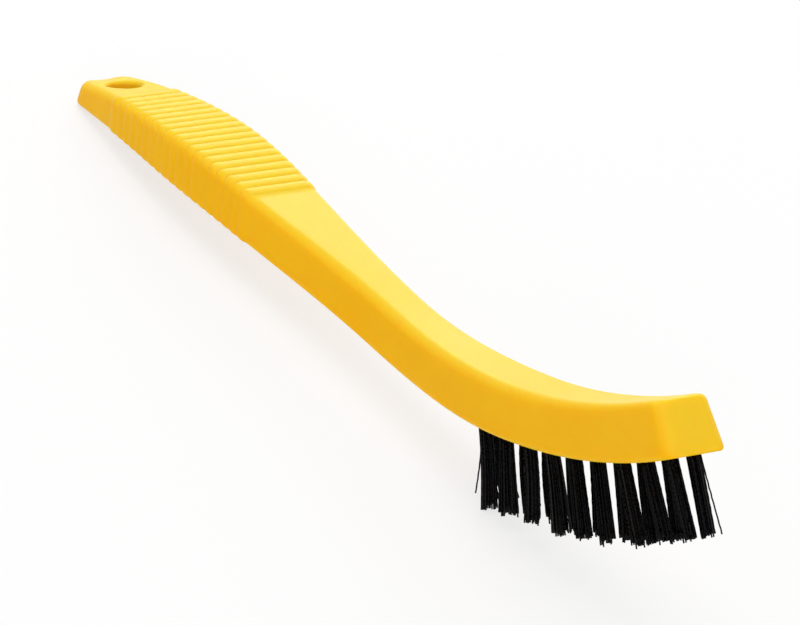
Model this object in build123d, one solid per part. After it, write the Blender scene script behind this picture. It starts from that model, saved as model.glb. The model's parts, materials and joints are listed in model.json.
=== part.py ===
from build123d import *
import os
from math import atan2, ceil, cos, degrees, hypot, pi, radians, sin, tan
from random import Random

# A grout brush: a one-piece moulded handle with a curved head, and black tufts set in its
# underside, each folded over a flat wire anchor. Millimetres. The handle is drawn with the
# head's middle level, then the whole brush is laid down as it rests: on the tips of its
# rearmost tufts and the far end of its handle, +X towards the head, +Z up.

# Side view: a centre line of a gentle curve along the grip, a straight neck and a bend
# that carries the head. Angles are degrees above the level of the head's middle.
grip_curve_length = 64.8
neck_length = 55.0
bend_length = 96.3
nose_length = 6.5
tip_slope = -5.6
neck_slope = -20.2
nose_slope = 13.9

# Widths across the underside, and heights in the plane of each cross-section.
tip_width = 14.2
grip_width = 22.0
neck_width = 12.9
head_width = 15.8
nose_width = 15.3
tip_height = 5.4
grip_height = 10.3
neck_height = 10.5
head_height = 11.4
nose_height = 12.1
widest_grip_distance = 44.7
fullest_grip_distance = 54.0
narrowest_neck_distance = 121.8
widest_head_distance = 167.9
tip_width_power = 1.46
tip_height_power = 1.5
nose_power = 2.0
side_draft = 4.6
grip_edge_radius = 2.0
top_edge_radius = 2.4
nose_edge_radius = 1.6
bottom_edge_radius = 1.1
top_edge_share = 0.42
bottom_edge_share = 0.18

# How far each cross-section leans from upright: the ribs stand nearly upright, the head's
# sections stand square to its centre line, and the two ends slope outwards at the foot.
tip_lean = -23.1
rib_lean = -4.5
nose_lean = 27.7
square_distance = 143.0
smooth_step = 11.0

# Moulded ribs around the grip, lower on its sides. The lists of shares give one rib's rise,
# from groove to groove.
tip_pad_length = 17.7
rib_count = 19
rib_pitch = 2.93
rib_rise = 0.5
rib_side_share = 0.38
rib_place_shares = (0, 0.16, 0.38, 0.62, 0.84)
rib_rise_shares = (0, 0.55, 1, 1, 0.55)

# Upright corners of the two ends.
tip_corner_radius = 2.1
nose_corner_radius = 1.9

# Hanging hole through the flat of the tip, and the shallow scoop between it and the end.
hang_hole_diameter = 7.8
hang_hole_from_tip = 9.0
scoop_radius = 30.0
scoop_depth = 0.45
scoop_length = 8.0

# Tufts: two rows of folded bristles, each in a blind hole, splayed from the rear to the nose.
# The pitch is the gap nearest the nose; each gap behind it is one step smaller.
tuft_count = 9
tuft_pitch = 8.1
tuft_pitch_step = 0.1
last_tuft_from_nose = 4.25
row_spacing = 5.5
rear_tuft_lean = 10.3
front_tuft_lean = 6.8
hole_diameter = 3.1
hole_depth = 7.4
plug_clearance = 0.05
trim_length = 17.3
trim_unevenness = 0.6
strand_side = 0.34
strand_root = 0.3
strand_edge = 0.1
strand_splay = 1.5
ring_shares = (0.285, 0.642, 1)
ring_counts = (4, 8, 12)

# Flat wire anchor across the bottom of each hole, its ends pressed into the plastic.
anchor_bite = 0.4
anchor_height = 1.6
anchor_thickness = 0.35
fold_thickness = 1.1

overrun = 1.0

spine_length = grip_curve_length + neck_length + bend_length + nose_length
rib_end_distance = tip_pad_length + rib_count * rib_pitch
bend_start = grip_curve_length + neck_length
bend_end = bend_start + bend_length


def along(length, start_slope, end_slope):
    """Return the run and the rise of a curve that turns steadily from one slope to another."""
    turn = radians(end_slope - start_slope)
    if turn == 0:
        return length * cos(radians(start_slope)), length * sin(radians(start_slope))
    radius = length / turn
    run = radius * (sin(radians(end_slope)) - sin(radians(start_slope)))
    rise = radius * (cos(radians(start_slope)) - cos(radians(end_slope)))
    return run, rise


def spine_at(distance):
    """Return x, z and the slope of the centre line at a distance from the tip."""
    stretches = (
        (grip_curve_length, tip_slope, neck_slope),
        (neck_length, neck_slope, neck_slope),
        (bend_length, neck_slope, nose_slope),
        (nose_length, nose_slope, nose_slope),
    )
    x = 0
    z = 0
    slope = tip_slope
    left = distance
    for length, start_slope, end_slope in stretches:
        part = min(left, length)
        slope = start_slope + (end_slope - start_slope) * part / length
        run, rise = along(part, start_slope, slope)
        x += run
        z += rise
        left -= part
        if left <= 0:
            break
    return x, z, slope


def ease(first, last, start, end, distance):
    """Blend from one size to another, level at both ends."""
    share = (distance - start) / (end - start)
    return first + (last - first) * (1 - cos(pi * share)) / 2


def width_at(distance):
    if distance < widest_grip_distance:
        share = 1 - distance / widest_grip_distance
        return grip_width - (grip_width - tip_width) * share**tip_width_power
    if distance < narrowest_neck_distance:
        return ease(grip_width, neck_width, widest_grip_distance, narrowest_neck_distance, distance)
    if distance < widest_head_distance:
        return ease(neck_width, head_width, narrowest_neck_distance, widest_head_distance, distance)
    share = (distance - widest_head_distance) / (spine_length - widest_head_distance)
    return head_width - (head_width - nose_width) * share**nose_power


def height_at(distance):
    if distance < fullest_grip_distance:
        share = 1 - distance / fullest_grip_distance
        return grip_height - (grip_height - tip_height) * share**tip_height_power
    if distance < narrowest_neck_distance:
        return ease(grip_height, neck_height, fullest_grip_distance, narrowest_neck_distance, distance)
    if distance < widest_head_distance:
        return ease(neck_height, head_height, narrowest_neck_distance, widest_head_distance, distance)
    return ease(head_height, nose_height, widest_head_distance, spine_length, distance)


def edge_radius_at(distance):
    if distance <= rib_end_distance:
        radius = grip_edge_radius
    elif distance < narrowest_neck_distance:
        radius = ease(
            grip_edge_radius, top_edge_radius, rib_end_distance, narrowest_neck_distance, distance
        )
    elif distance < widest_head_distance:
        radius = top_edge_radius
    else:
        radius = ease(
            top_edge_radius, nose_edge_radius, widest_head_distance, spine_length, distance
        )
    return min(radius, top_edge_share * height_at(distance))


def lean_at(distance):
    """Return how far the cross-section's top leans towards the tip, in degrees."""
    if distance < tip_pad_length:
        return ease(tip_lean, rib_lean, 0, tip_pad_length, distance)
    if distance <= rib_end_distance:
        return rib_lean
    slope = spine_at(distance)[2]
    if distance < square_distance:
        return ease(rib_lean, slope, rib_end_distance, square_distance, distance)
    if distance > bend_end:
        return ease(nose_slope, nose_lean, bend_end, spine_length, distance)
    return slope


def plane_at(distance, lean):
    """Return a plane across the handle: its x runs across, its y runs up."""
    x, z, slope = spine_at(distance)
    facing = (cos(radians(lean)), 0, sin(radians(lean)))
    return Plane(origin=(x, 0, z), x_dir=(0, 1, 0), z_dir=facing)


def section_at(distance, rise):
    """Return one rounded, drafted cross-section, grown outwards by a rise."""
    height = height_at(distance)
    foot_half = width_at(distance) / 2 + rise * rib_side_share
    top = height / 2 + rise
    top_half = foot_half - 2 * top * tan(radians(side_draft))
    corners = ((-foot_half, -top), (foot_half, -top), (top_half, top), (-top_half, top))
    face = make_face(Polyline(*corners, close=True))
    edge_groups = face.vertices().group_by(Axis.Y)
    face = fillet(edge_groups[-1], edge_radius_at(distance))
    face = fillet(
        face.vertices().group_by(Axis.Y)[0], min(bottom_edge_radius, bottom_edge_share * height)
    )
    return plane_at(distance, lean_at(distance)) * face


def smooth_stretch(start, end):
    steps = ceil((end - start) / smooth_step)
    distances = [start + (end - start) * number / steps for number in range(steps + 1)]
    return loft([section_at(distance, 0) for distance in distances])


def ribbed_stretch():
    sections = []
    for rib in range(rib_count):
        for place_share, rise_share in zip(rib_place_shares, rib_rise_shares):
            distance = tip_pad_length + (rib + place_share) * rib_pitch
            sections.append(section_at(distance, rib_rise * rise_share))
    sections.append(section_at(rib_end_distance, 0))
    return loft(sections, ruled=True)


def corner_cutter(distance, side, inwards, radius):
    """Return the sliver that rounds one upright corner of an end, for side 1 or -1."""
    lean = lean_at(distance)
    height = height_at(distance)
    draft = tan(radians(side_draft))
    reach = height / 2 + overrun
    half = width_at(distance) / 2 + overrun * draft
    flare = (width_at(distance + inwards * radius) - width_at(distance)) / 2
    corner_angle = pi / 2 + atan2(flare, radius)
    tangent = radius / tan(corner_angle / 2)
    side_run = hypot(flare, radius)
    along_side = Vector(flare * side, -inwards * radius) * (tangent / side_run)
    corner = Vector(half * side, 0)
    end_touch = corner - Vector(side * tangent, 0)
    side_touch = corner + along_side
    middle = (end_touch + side_touch) / 2
    outwards = (corner - middle).normalized()
    centre = corner - outwards * (radius / sin(corner_angle / 2))
    outside = corner + outwards * radius
    wedge = make_face(Polyline(end_touch, outside, side_touch, close=True))
    profile = wedge - Pos(centre.X, centre.Y) * Circle(radius)
    section = plane_at(distance, lean)
    foot = Plane(
        origin=section.origin - section.y_dir * reach, x_dir=section.x_dir, z_dir=section.y_dir
    )
    direction = section.y_dir * (2 * reach) - section.x_dir * (side * 2 * reach * draft)
    return Solid.extrude((foot * profile).face(), direction)


def scoop_cutter():
    """Return the drum that hollows the top of the tip, deepest at the end."""
    end = plane_at(0, lean_at(0))
    inner = plane_at(scoop_length, lean_at(scoop_length))
    start = end.origin + end.y_dir * (height_at(0) / 2 - scoop_depth)
    run_out = inner.origin + inner.y_dir * (height_at(scoop_length) / 2)
    run = start - run_out
    base = Plane(origin=run_out, x_dir=(0, -1, 0), z_dir=run.normalized())
    return base * Pos(0, scoop_radius, run.length / 2) * Cylinder(scoop_radius, run.length + 2 * overrun)


def tuft_plane(number, side):
    """Return a plane at a tuft's root on the underside: its z points along the tuft."""
    place_share = number / max(tuft_count - 1, 1)
    gaps = tuft_count - 1 - number
    reach = gaps * tuft_pitch - gaps * (gaps - 1) / 2 * tuft_pitch_step
    distance = spine_length - last_tuft_from_nose - reach
    x, z, slope = spine_at(distance)
    drop = height_at(distance) / 2
    lean = slope + rear_tuft_lean + (front_tuft_lean - rear_tuft_lean) * place_share
    root = (
        x + drop * sin(radians(slope)),
        side * row_spacing / 2,
        z - drop * cos(radians(slope)),
    )
    return Plane(origin=root, x_dir=(0, 1, 0), z_dir=(sin(radians(lean)), 0, -cos(radians(lean))))


def anchor_box(plane):
    length = hole_diameter + 2 * anchor_bite
    place = Pos(0, 0, fold_thickness + anchor_height / 2 - hole_depth)
    return plane * place * Box(length, anchor_thickness, anchor_height)


def tuft_hole(plane):
    height = hole_depth + overrun
    return plane * Pos(0, 0, overrun - height / 2) * Cylinder(hole_diameter / 2, height)


def tuft(plane, chance):
    """Return a folded tuft: the plug that fills its hole and the strands below it."""
    plug_radius = hole_diameter / 2 - plug_clearance
    plug_height = hole_depth - plug_clearance
    plug = plane * Pos(0, 0, -plug_height / 2) * Cylinder(plug_radius, plug_height)
    outer_ring = plug_radius - strand_side / 2 - strand_edge
    strands = []
    for ring_share, ring_count in zip(ring_shares, ring_counts):
        ring = outer_ring * ring_share
        for number in range(ring_count):
            angle = 360 * number / ring_count
            root = plane * Rot(0, 0, angle) * Pos(ring, 0, -strand_root)
            length = trim_length + strand_root + trim_unevenness * chance.uniform(-1, 1)
            splay = ring * (strand_splay - 1) * length / trim_length
            outwards = plane.x_dir * cos(radians(angle)) + plane.y_dir * sin(radians(angle))
            direction = plane.z_dir * length + outwards * splay
            square = (root * Rectangle(strand_side, strand_side)).face()
            strands.append(Solid.extrude(square, direction))
    return plug.fuse(*strands).solid() - anchor_box(plane)


def lowest_after(tilt, points):
    """Return the lowest of some points once the brush is tipped, as x and height."""
    turn = Vector(sin(radians(tilt)), 0, cos(radians(tilt)))
    lowest = min(points, key=turn.dot)
    run = Vector(cos(radians(tilt)), 0, -sin(radians(tilt)))
    return run.dot(lowest), turn.dot(lowest)


def rest_turn(tip, tufts):
    """Return the turn that lays the brush on its tip and its rearmost tufts."""
    tuft_points = [vertex.center() for piece in tufts for vertex in piece.vertices()]
    tilt = 0
    for _ in range(5):
        tip_box = (Rot(0, -tilt, 0) * tip).bounding_box()
        low_x, low_z = lowest_after(tilt, tuft_points)
        tilt += degrees(atan2(tip_box.min.Z - low_z, low_x - tip_box.min.X))
    print("tilt", tilt, "handle", tip_box.min.Z, "tufts", low_z)
    return Rot(0, -tilt, 0)


hang_slope = spine_at(hang_hole_from_tip)[2]
hang_plane = plane_at(hang_hole_from_tip, hang_slope)
hang_height = height_at(hang_hole_from_tip) + 2 * overrun
hang_hole = hang_plane * Rot(90, 0, 0) * Cylinder(hang_hole_diameter / 2, hang_height)
tip = smooth_stretch(0, tip_pad_length)
tip_corners = [corner_cutter(0, side, 1, tip_corner_radius) for side in (-1, 1)]
tip = tip.cut(hang_hole, scoop_cutter(), *tip_corners)

rows = {"left": 1, "right": -1}
chance = Random(7)
tufts = {}
anchors = []
cutters = [corner_cutter(spine_length, side, -1, nose_corner_radius) for side in (-1, 1)]
for row, side in rows.items():
    for number in range(tuft_count):
        plane = tuft_plane(number, side)
        anchor = anchor_box(plane)
        anchors.append(anchor)
        cutters += [tuft_hole(plane), anchor]
        tufts[f"tuft_{row}_{number + 1:02d}"] = tuft(plane, chance)
front = smooth_stretch(rib_end_distance, spine_length).cut(*cutters)
handle = tip.fuse(ribbed_stretch(), front)

turn = rest_turn(tip, tufts.values())
pieces = {"handle": handle, "tuft_anchors": Compound(anchors), **tufts}
whole = Compound([turn * piece for piece in pieces.values()]).bounding_box()
middle = whole.center()
placement = Pos(-middle.X, -middle.Y, -whole.min.Z) * turn

os.makedirs("parts", exist_ok=True)
for name, piece in pieces.items():
    export_step(placement * piece, f"parts/{name}.step")

bore = placement * hang_plane.location
above = bore * Pos(0, overrun, 0)
print("size", whole.size)
print("hanging hole at", bore.position, "through", height_at(hang_hole_from_tip))
print("hanging hole axis", (above.position - bore.position).normalized())
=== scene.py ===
import json
import random
from math import asin, ceil, cos, exp, pi, radians, sin, sqrt, tan

import bmesh
import bpy
from mathutils import Matrix, Vector


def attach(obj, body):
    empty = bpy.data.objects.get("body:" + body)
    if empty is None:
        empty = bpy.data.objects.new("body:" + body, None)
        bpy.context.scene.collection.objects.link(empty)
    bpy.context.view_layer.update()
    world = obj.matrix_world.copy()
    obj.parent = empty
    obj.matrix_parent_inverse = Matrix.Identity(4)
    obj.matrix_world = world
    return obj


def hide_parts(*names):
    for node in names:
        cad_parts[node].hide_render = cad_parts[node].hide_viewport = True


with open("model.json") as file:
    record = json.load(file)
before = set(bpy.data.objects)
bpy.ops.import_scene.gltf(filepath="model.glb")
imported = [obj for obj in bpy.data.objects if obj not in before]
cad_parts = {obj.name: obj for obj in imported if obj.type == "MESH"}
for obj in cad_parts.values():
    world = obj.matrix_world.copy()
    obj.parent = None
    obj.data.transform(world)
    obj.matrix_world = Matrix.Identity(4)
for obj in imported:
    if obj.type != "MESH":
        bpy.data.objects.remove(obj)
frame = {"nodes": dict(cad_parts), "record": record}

scene = bpy.context.scene
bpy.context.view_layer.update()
print("solids loaded:", len(frame["nodes"]), "nodes")

# Camera: a long lens, looking down along the brush from beyond its head.
shot = {
    "place": (0.96944, -0.8147, 0.75458),
    "turn": (58.9627, -12.4172, 57.1895),
    "lens": 315,
    "sensor": 36,
    "reach": 20,
}
lens = bpy.data.cameras.new("camera")
lens.lens = shot["lens"]
lens.sensor_width = shot["sensor"]
lens.clip_end = shot["reach"]
camera = bpy.data.objects.new("camera", lens)
camera.location = shot["place"]
camera.rotation_euler = [radians(angle) for angle in shot["turn"]]
scene.collection.objects.link(camera)
scene.camera = camera
scene.view_settings.view_transform = "Standard"


def addNode(tree, kind, **settings):
    node = tree.nodes.new(kind)
    for name, value in settings.items():
        setattr(node, name, value)
    return node


def join(tree, start, end):
    tree.links.new(start, end)


def setInputs(node, values):
    for name, value in values.items():
        node.inputs[name].default_value = value


def mixShaders(tree, factor, first, second):
    mix = addNode(tree, "ShaderNodeMixShader")
    for number, socket in enumerate((factor, first.outputs[0], second.outputs[0])):
        join(tree, socket, mix.inputs[number])
    return mix.outputs[0]


# One for rays that show a thing directly, in a mirror or through glass.
def directRays(tree):
    path = addNode(tree, "ShaderNodeLightPath")
    either = addNode(tree, "ShaderNodeMath", operation="MAXIMUM")
    anyOf = addNode(tree, "ShaderNodeMath", operation="MAXIMUM")
    join(tree, path.outputs["Is Camera Ray"], either.inputs[0])
    join(tree, path.outputs["Is Glossy Ray"], either.inputs[1])
    join(tree, either.outputs[0], anyOf.inputs[0])
    join(tree, path.outputs["Is Transmission Ray"], anyOf.inputs[1])
    return anyOf.outputs[0]


# Studio: a white floor that keeps the shadow, soft daylight and three broad lamps.
studio = {
    "floorSize": 6.0,
    "floorTone": 0.86,
    "floorWhite": 0.72,    # share of plain white that the camera sees
    "skyLight": 0.55,
    "softBoxes": {         # width, height, power, place
        "overhead": (1.0, 1.0, 7.2, (-0.1, -0.1, 1.2)),
        "behind": (0.9, 0.45, 6.2, (-0.94, 0.78, 0.48)),
        "ahead": (0.5, 0.5, 3.2, (1.0, -0.7, 0.4)),
    },
}
white = (1.0, 1.0, 1.0, 1.0)

world = bpy.data.worlds.new("studio")
scene.world = world
world.use_nodes = True
sky = world.node_tree
sky.nodes.clear()
skyLight = addNode(sky, "ShaderNodeBackground")
setInputs(skyLight, {"Color": white, "Strength": studio["skyLight"]})
skyWhite = addNode(sky, "ShaderNodeBackground")
setInputs(skyWhite, {"Color": white, "Strength": 1.0})
skyOut = addNode(sky, "ShaderNodeOutputWorld")
join(sky, mixShaders(sky, directRays(sky), skyLight, skyWhite), skyOut.inputs["Surface"])

floorLook = bpy.data.materials.new("studioFloor")
floorLook.use_nodes = True
floorTree = floorLook.node_tree
floorTree.nodes.clear()
floorMatt = addNode(floorTree, "ShaderNodeBsdfDiffuse")
floorMatt.inputs["Color"].default_value = (studio["floorTone"],) * 3 + (1.0,)
floorGlow = addNode(floorTree, "ShaderNodeEmission")
setInputs(floorGlow, {"Color": white, "Strength": 1.0})
floorShare = addNode(floorTree, "ShaderNodeMath", operation="MULTIPLY")
floorShare.inputs[1].default_value = studio["floorWhite"]
join(floorTree, directRays(floorTree), floorShare.inputs[0])
floorLit = mixShaders(floorTree, floorShare.outputs[0], floorMatt, floorGlow)
floorOut = addNode(floorTree, "ShaderNodeOutputMaterial")
join(floorTree, floorLit, floorOut.inputs["Surface"])

floorMesh = bmesh.new()
bmesh.ops.create_grid(floorMesh, x_segments=1, y_segments=1, size=studio["floorSize"] / 2)
floorData = bpy.data.meshes.new("floor")
floorMesh.to_mesh(floorData)
floorMesh.free()
floorData.materials.append(floorLook)
floor = bpy.data.objects.new("floor", floorData)
scene.collection.objects.link(floor)

for name, (width, height, power, place) in studio["softBoxes"].items():
    lampData = bpy.data.lights.new(name, "AREA")
    lampData.shape = "RECTANGLE"
    lampData.size = width
    lampData.size_y = height
    lampData.energy = power
    lamp = bpy.data.objects.new(name, lampData)
    lamp.location = place
    lamp.rotation_euler = (-Vector(place)).to_track_quat("-Z", "Y").to_euler()
    lamp.visible_camera = False
    scene.collection.objects.link(lamp)
print("camera and studio ready")

millimetre = 0.001

# Side line of the handle in millimetres, drawn with the middle of the head level.
sideLine = {
    "gripCurve": 64.8,
    "neck": 55.0,
    "bend": 96.3,
    "nose": 6.5,
    "tipSlope": -5.6,
    "neckSlope": -20.2,
    "noseSlope": 13.9,
}
lineLength = sideLine["gripCurve"] + sideLine["neck"] + sideLine["bend"] + sideLine["nose"]


def lineAt(distance):
    stretches = (
        (sideLine["gripCurve"], sideLine["tipSlope"], sideLine["neckSlope"]),
        (sideLine["neck"], sideLine["neckSlope"], sideLine["neckSlope"]),
        (sideLine["bend"], sideLine["neckSlope"], sideLine["noseSlope"]),
        (sideLine["nose"], sideLine["noseSlope"], sideLine["noseSlope"]),
    )
    x = z = 0.0
    slope = sideLine["tipSlope"]
    for length, first, last in stretches:
        part = min(distance, length)
        slope = first + (last - first) * part / length
        turn = radians(slope - first)
        middle = radians((first + slope) / 2)
        chord = part if turn == 0 else part * sin(turn / 2) / (turn / 2)
        x += chord * cos(middle)
        z += chord * sin(middle)
        distance -= part
        if distance <= 0:
            break
    return Vector((x, 0, z)), slope


# Cross-sections: widths across the underside, heights square to the side line.
sectionSizes = {
    "tipWidth": 14.2,
    "gripWidth": 22.0,
    "neckWidth": 12.9,
    "headWidth": 15.8,
    "noseWidth": 15.3,
    "tipHeight": 5.4,
    "gripHeight": 10.3,
    "neckHeight": 10.5,
    "headHeight": 11.4,
    "noseHeight": 12.1,
    "widestGrip": 44.7,
    "fullestGrip": 54.0,
    "narrowestNeck": 121.8,
    "widestHead": 167.9,
    "tipWidthPower": 1.46,
    "tipHeightPower": 1.5,
    "nosePower": 2.0,
    "draft": 4.6,
    "gripEdge": 2.0,
    "topEdge": 2.4,
    "noseEdge": 1.6,
    "bottomEdge": 1.1,
    "topEdgeShare": 0.42,       # the most of the height that an edge may take
    "bottomEdgeShare": 0.18,
    "tipLean": -23.1,
    "ribLean": -4.5,
    "noseLean": 27.7,
    "squareFrom": 143.0,
    "tipCorner": 2.1,           # rounding of the two ends seen from above
    "noseCorner": 2.4,
    "endEdge": 0.5,             # rounding where the ends meet top and bottom
    "tipFacet": (3.2, 0.55),    # length and depth of the flat that eases each tip corner
}
ribs = {
    "start": 17.7,
    "count": 19,
    "pitch": 2.93,
    "rise": 0.45,
    "sideShare": 0.42,
    "underShare": 0.5,
    "fullness": 0.65,    # below one makes a rib blunter than a sine
}
ribsEnd = ribs["start"] + ribs["count"] * ribs["pitch"]


def blend(first, last, start, end, distance):
    return first + (last - first) * (1 - cos(pi * (distance - start) / (end - start))) / 2


def widthAt(distance):
    s = sectionSizes
    if distance < s["widestGrip"]:
        away = (1 - distance / s["widestGrip"]) ** s["tipWidthPower"]
        return s["gripWidth"] - (s["gripWidth"] - s["tipWidth"]) * away
    if distance < s["narrowestNeck"]:
        return blend(s["gripWidth"], s["neckWidth"], s["widestGrip"], s["narrowestNeck"], distance)
    if distance < s["widestHead"]:
        return blend(s["neckWidth"], s["headWidth"], s["narrowestNeck"], s["widestHead"], distance)
    past = (distance - s["widestHead"]) / (lineLength - s["widestHead"])
    return s["headWidth"] - (s["headWidth"] - s["noseWidth"]) * past ** s["nosePower"]


def heightAt(distance):
    s = sectionSizes
    if distance < s["fullestGrip"]:
        away = (1 - distance / s["fullestGrip"]) ** s["tipHeightPower"]
        return s["gripHeight"] - (s["gripHeight"] - s["tipHeight"]) * away
    if distance < s["narrowestNeck"]:
        return blend(s["gripHeight"], s["neckHeight"], s["fullestGrip"], s["narrowestNeck"], distance)
    if distance < s["widestHead"]:
        return blend(s["neckHeight"], s["headHeight"], s["narrowestNeck"], s["widestHead"], distance)
    return blend(s["headHeight"], s["noseHeight"], s["widestHead"], lineLength, distance)


def edgeAt(distance):
    s = sectionSizes
    edge = s["topEdge"]
    if distance <= ribsEnd:
        edge = s["gripEdge"]
    elif distance < s["narrowestNeck"]:
        edge = blend(s["gripEdge"], s["topEdge"], ribsEnd, s["narrowestNeck"], distance)
    elif distance > s["widestHead"]:
        edge = blend(s["topEdge"], s["noseEdge"], s["widestHead"], lineLength, distance)
    return min(edge, s["topEdgeShare"] * heightAt(distance))


def leanAt(distance):
    s = sectionSizes
    bendEnd = lineLength - sideLine["nose"]
    slope = lineAt(distance)[1]
    if distance < ribs["start"]:
        return blend(s["tipLean"], s["ribLean"], 0, ribs["start"], distance)
    if distance <= ribsEnd:
        return s["ribLean"]
    if distance < s["squareFrom"]:
        return blend(s["ribLean"], slope, ribsEnd, s["squareFrom"], distance)
    if distance > bendEnd:
        return blend(sideLine["noseSlope"], s["noseLean"], bendEnd, lineLength, distance)
    return slope


# How far a rounded corner has fallen away at a distance from the end.
def roundOff(distance, radius):
    if distance >= radius:
        return 0.0
    return radius - sqrt(radius ** 2 - (radius - distance) ** 2)


def ribRise(distance):
    place = (distance - ribs["start"]) / ribs["pitch"]
    if place <= 0 or place >= ribs["count"]:
        return 0.0
    return sin(pi * (place % 1.0)) ** ribs["fullness"]


# One section's outline: steps along each flat and each rounded edge.
outlineSteps = {"top": 14, "side": 8, "bottom": 10, "topEdge": 7, "bottomEdge": 5}


# Points round one section, each with its outward direction and its share of an edge.
def outlineAt(distance):
    s = sectionSizes
    toNose = lineLength - distance
    facetLength, facetDepth = s["tipFacet"]
    narrower = roundOff(distance, s["tipCorner"]) + roundOff(toNose, s["noseCorner"])
    narrower += facetDepth * max(0, 1 - distance / facetLength)
    lower = roundOff(min(distance, toNose), s["endEdge"])
    height = heightAt(distance)
    lift = ribs["rise"] * ribRise(distance)
    half = widthAt(distance) / 2 - narrower + lift * ribs["sideShare"]
    high = height / 2 - lower + lift
    low = lower - height / 2 - lift * ribs["underShare"]
    topHalf = half - (high - low) * tan(radians(s["draft"]))
    flatShare = 1 - 2 * lower / height
    topEdge = edgeAt(distance) * flatShare
    bottomEdge = min(s["bottomEdge"], s["bottomEdgeShare"] * height) * flatShare
    corners = [
        (Vector((half, low)), bottomEdge, outlineSteps["bottomEdge"], outlineSteps["side"]),
        (Vector((topHalf, high)), topEdge, outlineSteps["topEdge"], outlineSteps["top"]),
        (Vector((-topHalf, high)), topEdge, outlineSteps["topEdge"], outlineSteps["side"]),
        (Vector((-half, low)), bottomEdge, outlineSteps["bottomEdge"], outlineSteps["bottom"]),
    ]
    arcs = []
    for index, (corner, radius, steps, flatSteps) in enumerate(corners):
        back = (corners[index - 1][0] - corner).normalized()
        ahead = (corners[(index + 1) % 4][0] - corner).normalized()
        opening = back.angle(ahead)
        middle = corner + (back + ahead).normalized() * (radius / sin(opening / 2))
        first = Vector((back.y, -back.x))
        last = Vector((-ahead.y, ahead.x))
        if first.dot(corner - middle) < 0:
            first = -first
        if last.dot(corner - middle) < 0:
            last = -last
        arc = []
        for step in range(steps + 1):
            share = step / steps
            out = first.slerp(last, share)
            arc.append((middle + out * radius, out, sin(pi * share)))
        arcs.append((arc, flatSteps))
    outline = []
    for index, (arc, flatSteps) in enumerate(arcs):
        outline += arc
        start = arc[-1]
        end = arcs[(index + 1) % 4][0][0]
        for step in range(1, flatSteps):
            share = step / flatSteps
            outline.append((start[0].lerp(end[0], share), start[1], 0.0))
    return outline


# Places of the sections: close together at both ends and across each rib.
stationSteps = {
    "tipCorner": 8,
    "noseCorner": 7,
    "endEdge": 5,
    "tipPad": 16,
    "ribPhases": (0, 0.05, 0.11, 0.18, 0.28, 0.42, 0.58, 0.72, 0.82, 0.89, 0.95),
    "plainGap": 1.9,
    "leastGap": 0.004,
}


def roundSteps(radius, steps):
    return [radius * (1 - cos(step * pi / (2 * steps))) for step in range(steps + 1)]


def evenSteps(start, length, steps):
    return [start + length * step / steps for step in range(steps + 1)]


def handleStations():
    s = stationSteps
    tipCorner, noseCorner = sectionSizes["tipCorner"], sectionSizes["noseCorner"]
    edge = roundSteps(sectionSizes["endEdge"], s["endEdge"])
    fromNose = roundSteps(noseCorner, s["noseCorner"]) + edge
    plainLength = lineLength - noseCorner - ribsEnd
    places = roundSteps(tipCorner, s["tipCorner"]) + edge + [sectionSizes["tipFacet"][0]]
    places += evenSteps(tipCorner, ribs["start"] - tipCorner, s["tipPad"])
    for rib in range(ribs["count"]):
        places += [ribs["start"] + (rib + phase) * ribs["pitch"] for phase in s["ribPhases"]]
    places += evenSteps(ribsEnd, plainLength, ceil(plainLength / s["plainGap"]))
    places += [lineLength - distance for distance in fromNose]
    stations = []
    for distance in sorted(places):
        if not stations or distance - stations[-1] > s["leastGap"]:
            stations.append(distance)
    return stations


hole = frame["record"]["mounts"][0]    # the hanging hole seats the whole brush
holeFromTip = 9.0
holeSpot, holeSlope = lineAt(holeFromTip)
restTilt = asin(-hole["axis"][0]) - radians(holeSlope)
seat = Matrix.Rotation(-restTilt, 4, "Y") @ Matrix.Scale(millimetre, 4)
seat = Matrix.Translation(Vector(hole["pos_m"]) - seat @ holeSpot) @ seat


def makePiece(name, bm, materials):
    bmesh.ops.recalc_face_normals(bm, faces=bm.faces)
    for face in bm.faces:
        face.smooth = True
    bm.transform(seat)
    mesh = bpy.data.meshes.new(name)
    bm.to_mesh(mesh)
    bm.free()
    for material in materials:
        mesh.materials.append(material)
    piece = bpy.data.objects.new(name, mesh)
    scene.collection.objects.link(piece)
    return piece


# The flat of the tip is hollowed a little between the end and the hanging hole.
scoop = {"depth": 0.45, "length": 9.0, "halfWidth": 3.8, "power": 1.5}


def scoopDrop(distance, across):
    if distance > scoop["length"]:
        return 0.0
    depth = scoop["depth"] * (1 - distance / scoop["length"]) ** scoop["power"]
    return depth * exp(-(across / scoop["halfWidth"]) ** 2)


capInset = 0.5    # a ring of faces that keeps each flat end flat


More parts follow.
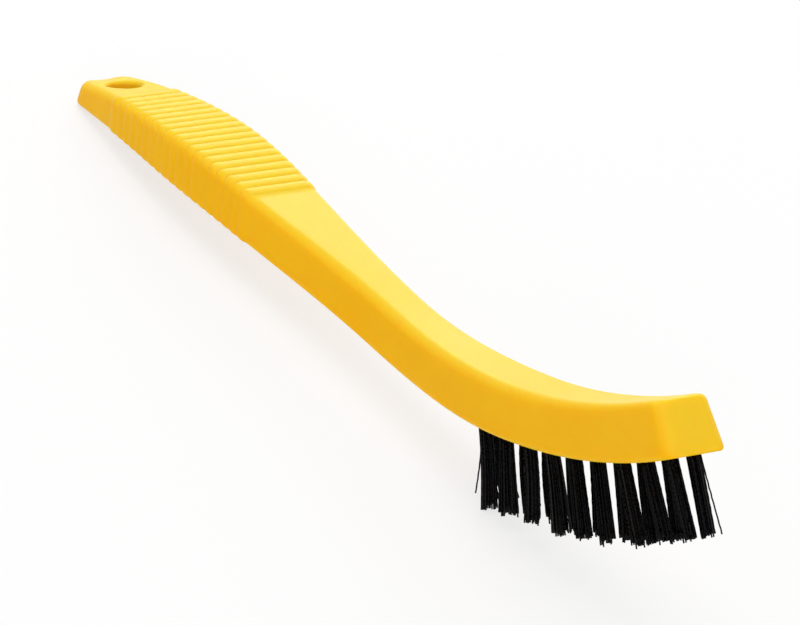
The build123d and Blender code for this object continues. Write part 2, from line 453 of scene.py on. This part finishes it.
def sweepHandle():
    bm = bmesh.new()
    stations = handleStations()
    corners = len(outlineAt(stations[0]))
    around = bm.verts.layers.int.new("around")
    wear = bm.verts.layers.float.new("edgeWear")
    ring = bmesh.ops.create_circle(bm, segments=corners, radius=1.0)["verts"]
    for index, vert in enumerate(ring):
        vert[around] = index
    ringEdges = list(bm.edges)
    bmesh.ops.contextual_create(bm, geom=ringEdges)
    for number, distance in enumerate(stations):
        if number:
            made = bmesh.ops.extrude_edge_only(bm, edges=ringEdges)["geom"]
            ring = [item for item in made if isinstance(item, bmesh.types.BMVert)]
            fresh = set(ring)
            edges = [item for item in made if isinstance(item, bmesh.types.BMEdge)]
            ringEdges = [edge for edge in edges if fresh.issuperset(edge.verts)]
        spot = lineAt(distance)[0]
        lean = radians(leanAt(distance))
        up = Vector((-sin(lean), 0, cos(lean)))
        across = Vector((0, 1, 0))
        outline = outlineAt(distance)
        for vert in ring:
            place, out, edgeShare = outline[vert[around]]
            drop = max(out.y, 0) * scoopDrop(distance, place.x)
            vert.co = spot + across * place.x + up * (place.y - drop)
            vert[wear] = edgeShare
    bmesh.ops.contextual_create(bm, geom=ringEdges)
    caps = [face for face in bm.faces if len(face.verts) == corners]
    bmesh.ops.inset_individual(bm, faces=caps, thickness=capInset)
    return bm


# Hanging hole with a soft moulded rim, and the drilled holes of the tufts.
holeSizes = {
    "radius": 3.9,
    "rim": 1.4,
    "rimDepth": 1.0,
    "rimTurn": 78,          # degrees that the rim curves through
    "rimSteps": 9,
    "flare": (2.4, 0.51),   # run-out past the rim, outwards and up
    "taperSpan": 4.0,       # length over which the tip's own taper is read
    "turns": 72,
    "overrun": 3.0,
    "weld": 0.001,
}
tufts = {
    "count": 9,
    "pitch": 8.1,
    "pitchStep": 0.1,
    "lastFromNose": 4.25,
    "rowSpacing": 5.5,
    "rearLean": 10.3,
    "frontLean": 6.8,
    "holeRadius": 1.55,
    "holeDepth": 7.4,
    "holeOverrun": 1.2,
    "holeSegments": 28,
}


# A spun pin with a trumpet at each end, which leaves a soft rim above and below.
# It is the first shape in its mesh, and the tufts' holes follow.
def holeCutter(bm):
    radius, rim, rimDepth = holeSizes["radius"], holeSizes["rim"], holeSizes["rimDepth"]
    half = heightAt(holeFromTip) / 2
    span = holeSizes["taperSpan"]
    taper = (heightAt(holeFromTip + span / 2) - heightAt(holeFromTip - span / 2)) / span
    steps = holeSizes["rimSteps"]
    flareOut, flareUp = holeSizes["flare"]
    upper = []
    for step in range(steps + 1):
        turn = radians(180 - holeSizes["rimTurn"] * step / steps)
        upper.append((radius + rim + rim * cos(turn), half - rimDepth + rimDepth * sin(turn)))
    upper.append((upper[-1][0] + flareOut, upper[-1][1] + flareUp))
    upper.append((upper[-1][0], half + holeSizes["overrun"]))
    upper.append((0, half + holeSizes["overrun"]))
    profile = [(out, -up) for out, up in reversed(upper)] + upper
    verts = [bm.verts.new((out, 0, up)) for out, up in profile]
    edges = [bm.edges.new(pair) for pair in zip(verts, verts[1:])]
    bmesh.ops.spin(
        bm, geom=verts + edges, cent=(0, 0, 0), axis=(0, 0, 1), angle=2 * pi,
        steps=holeSizes["turns"], use_merge=True, use_duplicate=False,
    )
    for vert in bm.verts:
        lift = 1 if vert.co.z > 0 else -1
        vert.co.z += lift * vert.co.x * taper
    turn = Matrix.Rotation(-radians(holeSlope), 4, "Y")
    bm.transform(Matrix.Translation(holeSpot) @ turn)
    bmesh.ops.remove_doubles(bm, verts=bm.verts, dist=holeSizes["weld"])


# Frame of one tuft at its root: across the brush, forwards, and down along the tuft.
def tuftSeat(number, side):
    share = number / (tufts["count"] - 1)
    gaps = tufts["count"] - 1 - number
    reach = gaps * tufts["pitch"] - gaps * (gaps - 1) / 2 * tufts["pitchStep"]
    distance = lineLength - tufts["lastFromNose"] - reach
    spot, slope = lineAt(distance)
    drop = heightAt(distance) / 2
    turn = radians(slope)
    lean = radians(slope + tufts["rearLean"] + (tufts["frontLean"] - tufts["rearLean"]) * share)
    root = spot + Vector((drop * sin(turn), side * tufts["rowSpacing"] / 2, -drop * cos(turn)))
    down = Vector((sin(lean), 0, -cos(lean)))
    across = Vector((0, 1, 0))
    ahead = down.cross(across)
    turned = Matrix((across, ahead, down)).transposed().to_4x4()
    return Matrix.Translation(root) @ turned


def tuftCutter(bm, number, side):
    radius, depth = tufts["holeRadius"], tufts["holeDepth"]
    overrun = tufts["holeOverrun"]
    shift = Matrix.Translation((0, 0, (overrun - depth) / 2))
    bmesh.ops.create_cone(
        bm, cap_ends=True, segments=tufts["holeSegments"], radius1=radius, radius2=radius,
        depth=depth + overrun, matrix=tuftSeat(number, side) @ shift,
    )


rows = {"left": 1, "right": -1}
handleMesh = sweepHandle()
handlePiece = makePiece("handleMoulding", handleMesh, [])
cutterMesh = bmesh.new()
holeCutter(cutterMesh)
for side in rows.values():
    for number in range(tufts["count"]):
        tuftCutter(cutterMesh, number, side)
cutter = makePiece("holeCutters", cutterMesh, [])
change = handlePiece.modifiers.new("holes", "BOOLEAN")
change.operation = "DIFFERENCE"
change.solver = "EXACT"
change.object = cutter
bpy.context.view_layer.update()
solved = handlePiece.evaluated_get(bpy.context.evaluated_depsgraph_get())
cutMesh = bpy.data.meshes.new_from_object(solved)
handlePiece.modifiers.clear()
handlePiece.data = cutMesh
bpy.data.objects.remove(cutter)

# Painted light: how far each point faces the light above, with a set share inside the hanging hole;
# by this share the plastic is painted a paler yellow.
facing = {"power": 1.5, "inHole": 0.8, "holeReach": 1.1, "crease": 50}
finished = bmesh.new()
finished.from_mesh(cutMesh)
paintedLightShare = finished.verts.layers.float.new("paintedLightShare")
holeAxis = Vector(hole["axis"])
holeReach = facing["holeReach"] * holeSizes["radius"] * millimetre
for vert in finished.verts:
    away = vert.co - Vector(hole["pos_m"])
    away -= holeAxis * away.dot(holeAxis)
    inHole = away.length < holeReach
    # Painted light: upturned faces and the hole's inside get a share of the paler, painted-lit
    # yellow.
    vert[paintedLightShare] = facing["inHole"] if inHole else max(0, vert.normal.z) ** facing["power"]
for face in finished.faces:
    face.smooth = True
for edge in finished.edges:
    edge.smooth = edge.calc_face_angle(0) < radians(facing["crease"])
finished.to_mesh(cutMesh)
finished.free()
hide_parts("handle")
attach(handlePiece, "root")
print("handle moulded:", len(cutMesh.polygons), "faces")

# Yellow plastic: a satin moulded skin with faint flow marks and rubbed edges, painted paler where
# light falls from above and inside the hanging hole.
plastic = {
    "deep": (0.91, 0.475, 0.003, 1.0),
    "bright": (0.93, 0.495, 0.005, 1.0),
    # Painted light: a paler yellow that stands for the light on upturned faces and in the hanging
    # hole.
    "paintedLitYellow": (0.84, 0.598, 0.028, 1.0),    # where light falls on it
    "rubbed": (0.93, 0.56, 0.012, 1.0),
    "clouds": (70.0, 3.0),                 # scale and detail of a noise, and its squeeze
    "cloudRange": (0.35, 0.65),
    "rubs": (420.0, 4.0),
    "rubRange": (0.40, 0.75),
    "rubShare": 0.45,
    "flow": (160.0, 3.0, (0.25, 1.6, 1.6)),
    "flowRange": (0.3, 0.7),
    "roughness": (0.36, 0.42),
    "grain": (2600.0, 2.0),
    "grainBump": (0.015, 0.0004),          # strength and depth
    "ior": 1.45,
    "shine": 0.11,
    "glow": 0.9,
    "glowReach": (1.0, 0.5, 0.06),
    "glowDepth": 0.0024,
}


def newMaterial(name):
    material = bpy.data.materials.new(name)
    material.use_nodes = True
    tree = material.node_tree
    return material, tree, tree.nodes["Principled BSDF"]


def attribute(tree, name):
    return addNode(tree, "ShaderNodeAttribute", attribute_name=name).outputs["Fac"]


# Sockets 6 and 7 and output 2 of a mix are its colours.
def mixColours(tree, factor, first, second):
    mix = addNode(tree, "ShaderNodeMix", data_type="RGBA")
    join(tree, factor, mix.inputs[0])
    for value, socket in ((first, mix.inputs[6]), (second, mix.inputs[7])):
        if isinstance(value, tuple):
            socket.default_value = value
        else:
            join(tree, value, socket)
    return mix.outputs[2]


def stretch(tree, value, low, high, newLow, newHigh):
    span = addNode(tree, "ShaderNodeMapRange")
    join(tree, value, span.inputs["Value"])
    setInputs(span, {"From Min": low, "From Max": high, "To Min": newLow, "To Max": newHigh})
    return span.outputs["Result"]


def noiseOn(tree, coordinates, scale, detail, squeeze=(1, 1, 1)):
    mapping = addNode(tree, "ShaderNodeMapping")
    mapping.inputs["Scale"].default_value = squeeze
    noise = addNode(tree, "ShaderNodeTexNoise")
    setInputs(noise, {"Scale": scale, "Detail": detail})
    join(tree, coordinates, mapping.inputs["Vector"])
    join(tree, mapping.outputs["Vector"], noise.inputs["Vector"])
    return noise.outputs["Fac"]


def addBump(tree, shader, relief, strength, depth):
    bump = addNode(tree, "ShaderNodeBump")
    setInputs(bump, {"Strength": strength, "Distance": depth})
    join(tree, relief, bump.inputs["Height"])
    join(tree, bump.outputs["Normal"], shader.inputs["Normal"])


def makePlastic():
    material, tree, shader = newMaterial("yellowPlastic")
    where = addNode(tree, "ShaderNodeTexCoord").outputs["Object"]
    clouds = noiseOn(tree, where, *plastic["clouds"])
    cloudy = stretch(tree, clouds, *plastic["cloudRange"], 0.0, 1.0)
    colour = mixColours(tree, cloudy, plastic["deep"], plastic["bright"])
    # Painted light: the paler yellow follows the painted-light share.
    colour = mixColours(tree, attribute(tree, "paintedLightShare"), colour, plastic["paintedLitYellow"])
    rubs = noiseOn(tree, where, *plastic["rubs"])
    patchy = stretch(tree, rubs, *plastic["rubRange"], 0.0, plastic["rubShare"])
    rub = addNode(tree, "ShaderNodeMath", operation="MULTIPLY")
    join(tree, attribute(tree, "edgeWear"), rub.inputs[0])
    join(tree, patchy, rub.inputs[1])
    colour = mixColours(tree, rub.outputs[0], colour, plastic["rubbed"])
    join(tree, colour, shader.inputs["Base Color"])
    flow = noiseOn(tree, where, *plastic["flow"])
    rough = stretch(tree, flow, *plastic["flowRange"], *plastic["roughness"])
    join(tree, rough, shader.inputs["Roughness"])
    addBump(tree, shader, noiseOn(tree, where, *plastic["grain"]), *plastic["grainBump"])
    setInputs(shader, {
        "IOR": plastic["ior"],
        "Specular IOR Level": plastic["shine"],
        "Subsurface Weight": plastic["glow"],
        "Subsurface Radius": plastic["glowReach"],
        "Subsurface Scale": plastic["glowDepth"],
    })
    return material


handlePiece.data.materials.clear()
handlePiece.data.materials.append(makePlastic())

# Bristles: crimped nylon strands that start inside each hole and end in uneven clumps.
bristles = {
    "strands": 48,
    "sides": 3,
    "radius": 0.205,
    "rootRing": 1.40,
    "rootDepth": 2.6,
    "rootJitter": 0.06,
    "turnStep": 2.399963,    # golden angle, which spreads the roots evenly
    "turnJitter": 0.12,
    "seed": (100, 7, 31),    # step per tuft, step per row, start
    "length": 17.5,
    "steps": 18,
    "wander": 0.12,
    "splayRange": (0.8, 1.15),
    "bendPower": 1.25,
    "crimp": 0.045,
    "crimpLength": 2.4,
    "crimpOnset": 5,
    "clumps": 7,
    "innerClumps": 2,        # the strands within this share of the ring make two more
    "innerShare": 0.5,
    "clumpCut": (-1.15, 0.1),
    "ragged": 0.07,
    "loners": 2,
    "lonerCut": (0.1, 0.7),
    "floorGap": 0.12,
    "floorTries": 4,
    "floorShare": 0.8,       # how much of a strand's shortening lifts its end
    "lean": {     # how far each tuft's end stands forwards of straight, from the rear
        "left": (0.2, -0.3, -0.4, -1.0, -2.0, -2.0, -1.7, -1.8, -0.8),
        "right": (0.6, -0.7, -1.0, 0.6, -0.5, -1.0, 0.8, 1.0, 0.4),
    },
    "bow": {      # how far its middle does
        "left": (-2.6, -0.9, -1.0, -0.4, 0.0, 0.0, -0.6, 0.0, 0.0),
        "right": (0.6, 0.0, 0.6, 0.4, 0.0, 0.0, 0.0, 0.0, 0.0),
    },
    "splay": {    # how much wider its end is than its root
        "left": (1.5, 1.3, 1.45, 1.3, 1.1, 1.1, 1.15, 1.15, 1.05),
        "right": (1.25, 1.5, 1.25, 1.5, 1.3, 1.15, 1.15, 1.15, 1.15),
    },
    "trim": {     # how much longer than the others it is
        "left": (0.0, 0.0, 0.0, 0.0, 0.0, 0.0, 0.0, -0.8, -1.0),
        "right": (1.0, 0.0, 0.0, 0.4, 0.0, 0.0, 0.0, -0.8, -1.0),
    },
    "strays": {   # single strands that stand apart: which one, and how far
        ("right", 0): (44, -3.9),
        ("left", 8): (45, 2.3),
    },
}


# One tuft's strands: where each starts, its length, how it bends and its shade.
def planStrands(row, number, chance):
    b = bristles
    count, depth = b["strands"], b["rootDepth"]
    lean, splay, trim = (b[name][row][number] for name in ("lean", "splay", "trim"))
    stray, apart = b["strays"].get((row, number), (None, 0))

    def jitter(size):
        return chance.uniform(-size, size)

    clumpCuts = [chance.uniform(*b["clumpCut"]) for clump in range(b["clumps"] + b["innerClumps"])]
    loners = chance.sample(range(count // 2, count), b["loners"])
    plans = []
    for strand in range(count):
        ring = b["rootRing"] * sqrt((strand + 0.5) / count)
        angle = strand * b["turnStep"] + jitter(b["turnJitter"])
        out = Vector((cos(angle), sin(angle), 0))
        root = out * ring + Vector((jitter(b["rootJitter"]), jitter(b["rootJitter"]), -depth))
        clump = int(b["clumps"] * (angle / (2 * pi) % 1))
        if ring < b["innerShare"] * b["rootRing"]:
            clump = b["clumps"] + (out.x > 0)
        cut = clumpCuts[clump] + b["ragged"] * jitter(1) + trim
        if strand in loners:
            cut = chance.uniform(*b["lonerCut"]) + trim
        fan = out * ring * (splay - 1) * chance.uniform(*b["splayRange"])
        forwards = lean
        if strand == stray:
            forwards += apart
            cut = b["lonerCut"][0] + trim
        drift = Vector((jitter(b["wander"]), jitter(b["wander"]) + forwards, 0))
        crimpTurn = chance.uniform(0, 2 * pi)
        plans.append({
            "root": root,
            "reach": b["length"] + cut + depth,
            "spread": fan + drift,
            "crimp": Vector((cos(crimpTurn), sin(crimpTurn), 0)) * b["crimp"],
            "phase": chance.uniform(0, 2 * pi),
            "tone": chance.random(),
        })
    return plans


def strandPlace(plan, bow, share):
    along = plan["reach"] * share
    bend = plan["spread"] * share ** bristles["bendPower"]
    arch = Vector((0, bow * sin(pi * share), 0))
    swing = sin(2 * pi * along / bristles["crimpLength"] + plan["phase"])
    wave = plan["crimp"] * swing * min(1, share * bristles["crimpOnset"])
    return plan["root"] + Vector((0, 0, along)) + bend + arch + wave


def makeTuft(row, side, number, chance):
    bm = bmesh.new()
    at = tuftSeat(number, side)
    plans = planStrands(row, number, chance)
    bow = bristles["bow"][row][number]
    for plan in plans:    # nothing reaches through the surface the brush rests on
        for attempt in range(bristles["floorTries"]):
            end = seat @ at @ strandPlace(plan, bow, 1)
            low = end.z / millimetre - bristles["floorGap"]
            if low < 0:
                plan["reach"] += low / bristles["floorShare"]
    strandMark = bm.verts.layers.int.new("strand")
    tone = bm.verts.layers.float.new("strandTone")
    along = bm.verts.layers.float.new("strandAlong")
    for index, plan in enumerate(plans):
        spin = Matrix.Rotation(chance.uniform(0, 2 * pi), 4, "Z")
        made = bmesh.ops.create_circle(
            bm, cap_ends=True, segments=bristles["sides"], radius=bristles["radius"],
            matrix=Matrix.Translation(strandPlace(plan, bow, 0)) @ spin,
        )["verts"]
        for vert in made:
            vert[strandMark] = index
            vert[tone] = plan["tone"]
            vert[along] = 0.0
    faces = list(bm.faces)
    steps = bristles["steps"]
    for step in range(1, steps + 1):
        made = bmesh.ops.extrude_face_region(bm, geom=faces)["geom"]
        faces = [item for item in made if isinstance(item, bmesh.types.BMFace)]
        moves = []
        for plan in plans:
            after = strandPlace(plan, bow, step / steps)
            before = strandPlace(plan, bow, (step - 1) / steps)
            moves.append(after - before)
        for item in made:
            if isinstance(item, bmesh.types.BMVert):
                item.co += moves[item[strandMark]]
                item[along] = plans[item[strandMark]]["reach"] * step / steps
    bm.transform(at)
    piece = makePiece(f"bristles_{row}_{number + 1:02d}", bm, [bristleLook])
    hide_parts(f"tuft_{row}_{number + 1:02d}")
    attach(piece, "root")


# Black nylon: shades that differ from strand to strand, and a fine wave along each.
nylon = {
    "black": (0.0022, 0.0021, 0.0026, 1.0),
    "brown": (0.0065, 0.0052, 0.0045, 1.0),
    "brownRange": (0.55, 1.0),
    "blue": (0.0035, 0.0042, 0.0075, 1.0),
    "blueRange": (0.35, 0.0),
    "waveTurn": 7.0,                # radians a millimetre
    "phaseSpread": 40.0,
    "roughness": (0.30, 0.50),
    "waveBump": (0.6, 0.00008),     # strength and depth
    "ior": 1.45,
    "shine": 0.12,
}


def makeNylon():
    material, tree, shader = newMaterial("blackNylon")
    tone = attribute(tree, "strandTone")
    brown = stretch(tree, tone, *nylon["brownRange"], 0.0, 1.0)
    blue = stretch(tree, tone, *nylon["blueRange"], 0.0, 1.0)
    colour = mixColours(tree, brown, nylon["black"], nylon["brown"])
    colour = mixColours(tree, blue, colour, nylon["blue"])
    join(tree, colour, shader.inputs["Base Color"])
    phase = addNode(tree, "ShaderNodeMath", operation="MULTIPLY_ADD")
    phase.inputs[1].default_value = nylon["phaseSpread"]
    join(tree, tone, phase.inputs[0])
    turns = addNode(tree, "ShaderNodeMath", operation="MULTIPLY_ADD")
    turns.inputs[1].default_value = nylon["waveTurn"]
    join(tree, attribute(tree, "strandAlong"), turns.inputs[0])
    join(tree, phase.outputs[0], turns.inputs[2])
    wave = addNode(tree, "ShaderNodeMath", operation="SINE")
    join(tree, turns.outputs[0], wave.inputs[0])
    rough = stretch(tree, wave.outputs[0], -1.0, 1.0, *nylon["roughness"])
    join(tree, rough, shader.inputs["Roughness"])
    addBump(tree, shader, wave.outputs[0], *nylon["waveBump"])
    setInputs(shader, {"IOR": nylon["ior"], "Specular IOR Level": nylon["shine"]})
    return material


bristleLook = makeNylon()
perTuft, perRow, start = bristles["seed"]
for row, side in rows.items():
    for number in range(tufts["count"]):
        makeTuft(row, side, number, random.Random(perTuft * number + perRow * side + start))
print("tufts set:", len(rows) * tufts["count"])

# Drawn steel wire for the anchors, which keep their CAD shape inside the head.
wire = {
    "dark": (0.50, 0.50, 0.52, 1.0),
    "light": (0.66, 0.66, 0.68, 1.0),
    "drawn": (900.0, 3.0, (1, 0.06, 1)),
    "drawnRange": (0.3, 0.7),
    "roughness": (0.25, 0.42),
}


def makeWire():
    material, tree, shader = newMaterial("anchorWire")
    where = addNode(tree, "ShaderNodeTexCoord").outputs["Object"]
    drawn = noiseOn(tree, where, *wire["drawn"])
    join(tree, mixColours(tree, drawn, wire["dark"], wire["light"]), shader.inputs["Base Color"])
    rough = stretch(tree, drawn, *wire["drawnRange"], *wire["roughness"])
    join(tree, rough, shader.inputs["Roughness"])
    shader.inputs["Metallic"].default_value = 1.0
    return material


anchors = frame["nodes"]["tuft_anchors"]
wireLook = makeWire()
for index in range(max(1, len(anchors.material_slots))):
    if index < len(anchors.material_slots):
        anchors.material_slots[index].material = wireLook
    else:
        anchors.data.materials.append(wireLook)
print("finishes done")
